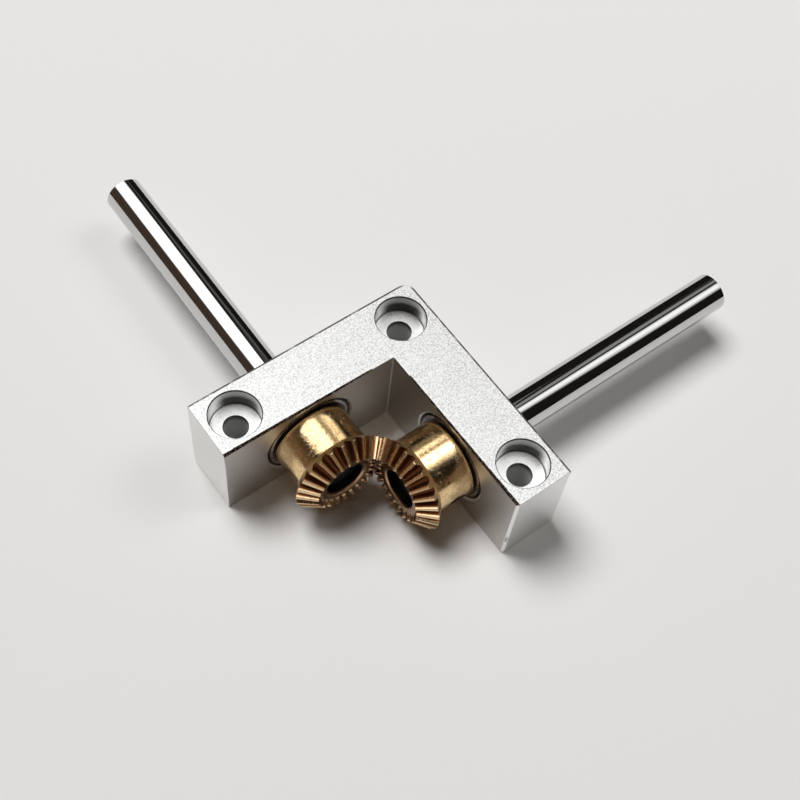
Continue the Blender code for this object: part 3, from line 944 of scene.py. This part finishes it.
def make_gear(side, first, look):
    """A gear with its countersunk, tapped hole for the set screw."""
    name = f"{side}_gear_fine"
    gear = add_piece(name, gear_mesh(name, first), AXES[side], look)
    mouth = SET_SCREW_HOLE_RADIUS + COUNTERSINK
    hole = [
        (SHAFT_RADIUS - OVERSHOOT, SET_SCREW_HOLE_RADIUS),
        (HUB_RADIUS - COUNTERSINK_DEPTH, SET_SCREW_HOLE_RADIUS),
        (HUB_RADIUS + 0.05, mouth),
        (HUB_RADIUS + OVERSHOOT, mouth),
    ]
    mesh = turned_bar("set_screw_cutter", hole, SMALL_HOLE_FACETS)
    cut(gear, [add_piece("set_screw_cutter", mesh, set_screw_frame(side), tapped_hole_look(side))])
    gear.data.set_sharp_from_angle(angle=GEAR_SHARP_ANGLE)
    keep_faces_flat(gear)
    stand_for(gear, f"{side}_gear")
    return gear


def make_set_screw(side, look):
    """A headless screw with a hexagon socket and the crests of its thread."""
    facets = SET_SCREW_FACETS
    low = SET_SCREW_TOP - SET_SCREW_LENGTH
    floor = SET_SCREW_TOP - SET_SCREW_LENGTH / 2
    pitch = 0.7
    flank = 0.3
    root = SET_SCREW_RADIUS - 0.32
    grid = bmesh.new()
    outline = [(low, SET_SCREW_RADIUS - 0.4)]
    for i in range(int((SET_SCREW_LENGTH - 0.5) / pitch)):
        start = low + 0.3 + i * pitch
        outline += [(start, root), (start + flank, SET_SCREW_RADIUS),
                    (start + flank + 0.08, SET_SCREW_RADIUS)]
    outline += [(SET_SCREW_TOP - 0.2, SET_SCREW_RADIUS - 0.25),
                (SET_SCREW_TOP, SET_SCREW_RADIUS - 0.35)]
    rings = [ring(grid, place, radius, facets) for place, radius in outline]
    for below, above in zip(rings, rings[1:]):
        bridge(grid, below, above)
    grid.faces.new(rings[0])
    share = facets // 6
    mouth = ring(grid, SET_SCREW_TOP, SET_SCREW_SOCKET, 6)
    base = ring(grid, floor, SET_SCREW_SOCKET, 6)
    for i in range(6):
        j = (i + 1) % 6
        outside = [rings[-1][(share * i + step) % facets] for step in range(share + 1)]
        grid.faces.new((*outside, mouth[j], mouth[i]))
    bridge(grid, mouth, base)
    grid.faces.new(base)
    name = f"{side}_set_screw_fine"
    screw = add_piece(name, mesh_from(name, grid), set_screw_frame(side), look)
    stand_for(screw, f"{side}_set_screw")


# ---------------------------------------------------------------- bearings


def groove(land_radius, side, steps=16):
    """The ball groove in a ring's land; `side` is +1 in the outer ring, -1 in the inner."""
    half = math.acos(abs(land_radius - BALL_CIRCLE_RADIUS) / GROOVE_RADIUS)
    turns = [half * (1 - 2 * i / steps) for i in range(steps + 1)]
    return [
        (BEARING_WIDTH / 2 - GROOVE_RADIUS * math.sin(turn),
         BALL_CIRCLE_RADIUS + side * GROOVE_RADIUS * math.cos(turn))
        for turn in turns
    ]


def outer_ring_mesh(name):
    width = BEARING_WIDTH
    middle = BEARING_OUTSIDE_RADIUS - RING_ROUND
    outline = [
        (0, SHIELD_SEAT_RADIUS + LAND_EDGE),
        (LAND_EDGE, SHIELD_SEAT_RADIUS),
        (SHIELD_SEAT_DEPTH, SHIELD_SEAT_RADIUS),
        (SHIELD_SEAT_DEPTH, OUTER_LAND_RADIUS),
        *groove(OUTER_LAND_RADIUS, 1),
        (width - SHIELD_SEAT_DEPTH, OUTER_LAND_RADIUS),
        (width - SHIELD_SEAT_DEPTH, SHIELD_SEAT_RADIUS),
        (width - LAND_EDGE, SHIELD_SEAT_RADIUS),
        (width, SHIELD_SEAT_RADIUS + LAND_EDGE),
        *arc((width - RING_ROUND, middle), RING_ROUND, 0, math.pi / 2, 5),
        *arc((RING_ROUND, middle), RING_ROUND, math.pi / 2, math.pi, 5),
    ]
    return turned_ring(name, outline)


def inner_ring_mesh(name):
    width = BEARING_WIDTH
    outline = [
        (RING_CHAMFER, BEARING_INSIDE_RADIUS),
        (0, BEARING_INSIDE_RADIUS + RING_CHAMFER),
        (0, INNER_LAND_RADIUS - LAND_EDGE),
        (LAND_EDGE, INNER_LAND_RADIUS),
        *groove(INNER_LAND_RADIUS, -1),
        (width - LAND_EDGE, INNER_LAND_RADIUS),
        (width, INNER_LAND_RADIUS - LAND_EDGE),
        (width, BEARING_INSIDE_RADIUS + RING_CHAMFER),
        (width - RING_CHAMFER, BEARING_INSIDE_RADIUS),
    ]
    return turned_ring(name, outline)


def shield_mesh(name, flipped):
    """A pressed washer: flat rim, shallow step inwards, then a raised inner lip."""
    step = 0.08
    lip = 0.02
    outline = [
        (0.0, SHIELD_OUTSIDE_RADIUS),
        (0.0, SHIELD_OUTSIDE_RADIUS - 0.35),
        (step, SHIELD_OUTSIDE_RADIUS - 0.5),
        (step, SHIELD_INSIDE_RADIUS + 0.45),
        (lip, SHIELD_INSIDE_RADIUS + 0.3),
        (lip, SHIELD_INSIDE_RADIUS),
        (SHIELD_THICKNESS, SHIELD_INSIDE_RADIUS),
        (SHIELD_THICKNESS, SHIELD_OUTSIDE_RADIUS),
    ]
    if flipped:
        outline = [(SHIELD_THICKNESS - depth, radius) for depth, radius in outline]
    return turned_ring(name, outline, HOLE_FACETS)


def cage_mesh(name):
    low = (BEARING_WIDTH - CAGE_WIDTH) / 2
    high = low + CAGE_WIDTH
    outline = [
        (low, CAGE_INSIDE_RADIUS),
        (low, CAGE_OUTSIDE_RADIUS),
        (high, CAGE_OUTSIDE_RADIUS),
        (high, CAGE_INSIDE_RADIUS),
    ]
    facets_a_ball = 12
    return turned_ring(name, outline, facets_a_ball * BALL_COUNT)


def ball_place(index):
    turn = Matrix.Rotation(2 * math.pi * index / BALL_COUNT, 4, "Z")
    return turn @ Matrix.Translation((BALL_CIRCLE_RADIUS * MM, 0, BEARING_WIDTH / 2 * MM))


def make_cage(name, place, look):
    """A ring with a round window for each ball."""
    cage = add_piece(f"{name}_cage_fine", cage_mesh(f"{name}_cage_fine"), place, look)
    window = [(-OVERSHOOT, CAGE_POCKET_RADIUS), (OVERSHOOT, CAGE_POCKET_RADIUS)]
    lie_down = Matrix.Rotation(math.pi / 2, 4, "Y")
    cutters = [
        add_piece("cage_window", turned_bar("cage_window", window, WINDOW_FACETS),
                  place @ ball_place(i) @ lie_down, look)
        for i in range(BALL_COUNT)
    ]
    cut(cage, cutters)
    cage.data.set_sharp_from_angle(angle=SHARP_ANGLE)
    stand_for(cage, f"{name}_cage")


def ball_mesh(look):
    grid = bmesh.new()
    bmesh.ops.create_uvsphere(grid, u_segments=32, v_segments=16, radius=BALL_RADIUS)
    mesh = mesh_from("bearing_ball_fine", grid)
    mesh.materials.append(look)
    return mesh


def make_bearing(side, row, looks, ball):
    name = f"{side}_{row}_bearing"
    axis = AXIS_INDEX[side]
    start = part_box(f"{name}_outer_ring")[0][axis] / MM - CROSSING[axis]
    place = AXES[side] @ Matrix.Translation((0, 0, start * MM))
    for part, mesh in (("outer_ring", outer_ring_mesh), ("inner_ring", inner_ring_mesh)):
        piece = add_piece(f"{name}_{part}_fine", mesh(f"{name}_{part}_fine"), place, looks["steel"])
        stand_for(piece, f"{name}_{part}")
    back_depth = BEARING_WIDTH - SHIELD_RECESS - SHIELD_THICKNESS
    for part, depth in (("front_shield", SHIELD_RECESS), ("back_shield", back_depth)):
        mesh = shield_mesh(f"{name}_{part}_fine", part == "back_shield")
        piece = add_piece(f"{name}_{part}_fine", mesh,
                          place @ Matrix.Translation((0, 0, depth * MM)), looks["shield"])
        stand_for(piece, f"{name}_{part}")
    make_cage(name, place, looks["cage"])
    for i in range(BALL_COUNT):
        piece = add_piece(f"{name}_ball_{i + 1}_fine", ball, place @ ball_place(i), None)
        stand_for(piece, f"{name}_ball_{i + 1}")


# ---------------------------------------------------------------- stage


def make_floor():
    half_width = 3.0
    grid = bmesh.new()
    bmesh.ops.create_grid(grid, x_segments=1, y_segments=1, size=half_width)
    mesh = bpy.data.meshes.new("floor")
    grid.to_mesh(mesh)
    grid.free()
    floor = add_piece("floor", mesh, Matrix.Translation((0, 0, block_low.z * MM)), floor_look())


def make_camera():
    """A camera that looks down at the block from the open side of the corner."""
    target = Vector((-16.2, -19.6, 10.7)) * MM
    azimuth = math.radians(46.6)
    elevation = math.radians(60.0)
    roll = math.radians(8.2)
    distance = 0.2589
    forward = Vector((math.cos(elevation) * math.cos(azimuth),
                      math.cos(elevation) * math.sin(azimuth), -math.sin(elevation)))
    level = forward.cross(Vector((0, 0, 1))).normalized()
    above = level.cross(forward)
    right = level * math.cos(roll) + above * math.sin(roll)
    up = right.cross(forward)
    data = bpy.data.cameras.new("camera")
    data.sensor_width = 36.0
    data.lens = 59.5
    data.clip_start = 0.01
    camera = bpy.data.objects.new("camera", data)
    bpy.context.scene.collection.objects.link(camera)
    turn = Matrix((right, up, -forward)).transposed().to_4x4()
    camera.matrix_world = Matrix.Translation(target - forward * distance) @ turn
    bpy.context.scene.camera = camera


class Sky(Nodes):
    """What the metal mirrors: a dark room with large soft panels above the object.

    Each panel fills a range of azimuth and elevation as seen from the object, in degrees.
    A range that goes past the end of the scale has no edge there.
    """

    def __init__(self, walls):
        self.world = bpy.data.worlds.new("studio")
        bpy.context.scene.world = self.world
        self.world.use_nodes = True
        super().__init__(self.world.node_tree)
        self.tree.nodes.clear()
        x, y, z = self.split(self.node("ShaderNodeTexCoord").outputs["Generated"])
        self.azimuth = self.maths("ARCTAN2", y, x)
        self.elevation = self.maths("ARCSINE", z)
        self.total = walls

    def within(self, angle, limits, soft):
        """1 where the angle lies in that range and 0 outside, with soft edges."""
        low, high = limits
        return self.times(
            self.ramp(angle, math.radians(low - soft), math.radians(low + soft)),
            self.ramp(angle, math.radians(high - soft), math.radians(high + soft), 1.0, 0.0),
        )

    def panel(self, azimuths, elevations, colour, soft):
        share = self.times(self.within(self.azimuth, azimuths, soft[0]),
                           self.within(self.elevation, elevations, soft[1]))
        self.total = self.mix(share, self.total, colour)

    def finish(self):
        """Only metal mirrors the panels. Behind the floor it looks as pale as the floor."""
        self.world.cycles_visibility.diffuse = False
        seen = self.node("ShaderNodeLightPath").outputs["Is Camera Ray"]
        colour = self.mix(seen, self.total, (0.76, 0.75, 0.74))
        background = self.node("ShaderNodeBackground", Color=colour)
        self.node("ShaderNodeOutputWorld", Surface=background.outputs[0])


def outward(azimuth, elevation):
    """The direction from the block to a light, from its angles in degrees."""
    turn = math.radians(azimuth)
    lift = math.radians(elevation)
    return Vector((math.cos(lift) * math.cos(turn), math.cos(lift) * math.sin(turn),
                   math.sin(lift)))


def add_soft_light(name, colour, direction, spread, strength, pieces=()):
    """A distant light, `spread` degrees wide, that metal doesn't mirror.

    If it is made for some pieces, those alone are lit by it and mirror it.
    """
    data = bpy.data.lights.new(name, "SUN")
    data.angle = math.radians(spread)
    data.energy = strength
    data.color = colour
    light = bpy.data.objects.new(name, data)
    bpy.context.scene.collection.objects.link(light)
    light.rotation_euler = outward(*direction).to_track_quat("Z", "Y").to_euler()
    light.visible_glossy = bool(pieces)
    if pieces:
        lit = bpy.data.collections.new(f"{name}_pieces")
        for piece in pieces:
            lit.objects.link(piece)
        light.light_linking.receiver_collection = lit


def make_sky():
    sky = Sky((0.012, 0.011, 0.010))
    # A dim warm wall on the left
    sky.panel((105, 200), (-10, 42), (0.065, 0.045, 0.033), (15, 3))
    # The main softbox, with a brighter strip low in it
    sky.panel((54, 142), (46, 80), (1.95, 1.95, 1.93), (3, 4))
    sky.panel((112, 141), (43, 60), (2.5, 2.5, 2.5), (6, 4))
    # The second softbox on the right, with a brighter middle
    sky.panel((-44, 3), (44, 80), (1.0, 1.0, 1.0), (6, 5))
    sky.panel((-32, -7), (48, 70), (1.5, 1.5, 1.47), (7, 6))
    # Low warm walls on the camera's side
    sky.panel((158, 200), (-10, 34), (0.24, 0.16, 0.11), (5, 8))
    sky.panel((-200, -72), (-10, 34), (0.24, 0.16, 0.11), (5, 8))
    # Dim panels between the two softboxes
    sky.panel((20, 41), (47, 80), (0.35, 0.35, 0.35), (4, 4))
    sky.panel((24, 44), (30, 41), (0.12, 0.12, 0.11), (4, 3))
    # The ceiling
    sky.panel((-200, 200), (70, 100), (3.4, 3.4, 3.4), (1, 5))
    sky.finish()


def make_light(gears):
    make_sky()
    white = (1.0, 0.995, 0.99)
    add_soft_light("main_light", white, (103, 66), 28, 2.58)
    add_soft_light("side_light", white, (-22, 52), 24, 0.45)
    add_soft_light("top_light", (1.0, 0.985, 0.97), (60, 80), 40, 0.05)
    add_soft_light("warm_fill", (1.0, 0.62, 0.38), (-133, 45), 40, 0.015)
    add_soft_light("drive_gear_light", (1.0, 1.0, 1.0), (14, 69), 22, 0.26, gears[:1])
    add_soft_light("driven_gear_light", (1.0, 0.98, 0.92), (28, 41), 20, 0.10, gears[1:])
    add_soft_light("gear_fill", (1.0, 0.90, 0.72), (45, 44), 50, 0.13, gears)
    bpy.context.scene.view_settings.view_transform = "Standard"


def main():
    make_camera()
    make_floor()
    make_block()
    steel = shaft_look()
    brass = brass_look()
    black = set_screw_look()
    looks = {"steel": bearing_steel_look(), "shield": shield_look(), "cage": cage_look()}
    ball = ball_mesh(ball_look())
    # A gap of the drive gear faces a tooth of the driven gear
    half_tooth = math.pi / TOOTH_COUNT
    first_teeth = {"drive": FIRST_TOOTH_ANGLE + half_tooth, "driven": -FIRST_TOOTH_ANGLE}
    gears = []
    for side, first in first_teeth.items():
        make_shaft(side, steel)
        gears.append(make_gear(side, first, brass))
        make_set_screw(side, black)
        for row in ("inner", "outer"):
            make_bearing(side, row, looks, ball)
    make_light(gears)


main()
